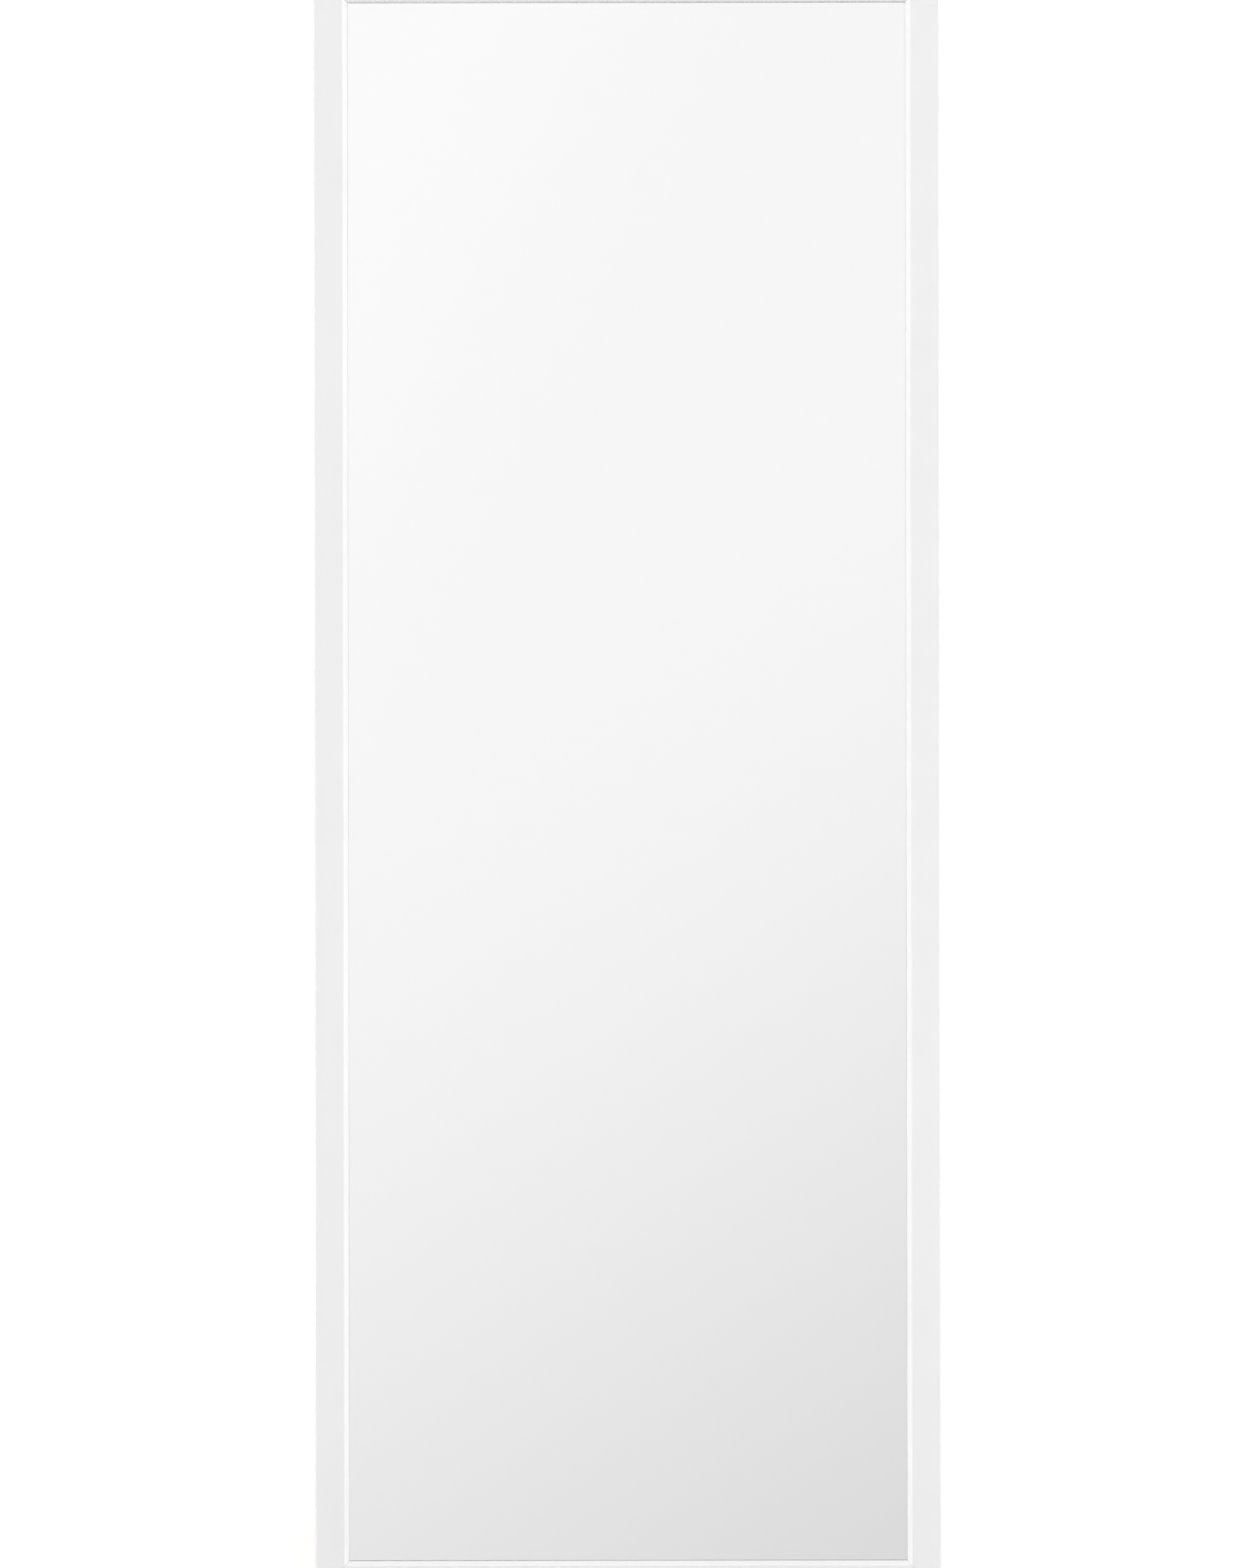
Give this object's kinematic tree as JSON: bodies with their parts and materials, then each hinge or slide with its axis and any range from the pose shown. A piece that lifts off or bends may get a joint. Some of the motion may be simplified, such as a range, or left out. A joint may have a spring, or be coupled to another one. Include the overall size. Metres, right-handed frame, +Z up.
{
  "type": "standing mirror",
  "caption": "Full-length rectangular mirror in a bevelled white mitred frame, leaning back on a folding U-shaped tube stand, with keyhole hangers on the back.",
  "frame": {"origin": "on the floor, under the middle of the whole object's box with the stand open", "axes": "+Z up along the mirror's height, -Y towards the person who looks into the mirror, +X to that person's right; the frame leans back by 9 degrees towards +Y"},
  "size_m": [0.65, 0.3842, 1.6751],
  "materials": {
    "white_foil": "satin",
    "silvered_glass": "polished",
    "block_rubber": "matte",
    "corrugated_board": "matte",
    "hardboard": "matte",
    "zinc_steel": "satin",
    "beech": "matte",
    "grey_rubber": "matte",
    "white_powder_coat": "satin",
    "white_nylon": "satin"
  },
  "bodies": {
    "mirror": {"left_stile": "white_foil", "right_stile": "white_foil", "top_rail": "white_foil", "bottom_rail": "white_foil", "mirror_glass": "silvered_glass", "setting_blocks": "block_rubber", "packing_board": "corrugated_board", "back_panel": "hardboard", "panel_clips": "zinc_steel", "panel_clip_screws": "zinc_steel", "corner_plate_bottom_left": "zinc_steel", "corner_plate_bottom_right": "zinc_steel", "corner_plate_top_left": "zinc_steel", "corner_plate_top_right": "zinc_steel", "corner_plate_screws": "zinc_steel", "hanger_plate_left": "zinc_steel", "hanger_plate_right": "zinc_steel", "hanger_screws": "zinc_steel", "foot_pad_screws": "zinc_steel", "hinge_bracket_screws": "zinc_steel", "pivot_bolt_left": "zinc_steel", "pivot_bolt_right": "zinc_steel", "pivot_nut_left": "zinc_steel", "pivot_nut_right": "zinc_steel", "mitre_dowels": "beech", "foot_pad_left": "grey_rubber", "foot_pad_right": "grey_rubber", "stand_buffer_left": "grey_rubber", "stand_buffer_right": "grey_rubber", "hinge_bracket_left": "white_powder_coat", "hinge_bracket_right": "white_powder_coat", "pivot_bush_left": "white_nylon", "pivot_bush_right": "white_nylon"},
    "stand": {"stand_tube": "white_powder_coat", "stop_cap_left": "white_nylon", "stop_cap_right": "white_nylon", "stand_foot_left": "grey_rubber", "stand_foot_right": "grey_rubber"}
  },
  "joints": [
    {"name": "stand_fold", "type": "hinge", "parent": "mirror", "child": "stand", "pos_m": [-0.31, 0.02782, 1.16593], "axis": [1, 0, 0], "range_deg": [-16.54, 0]}
  ]
}
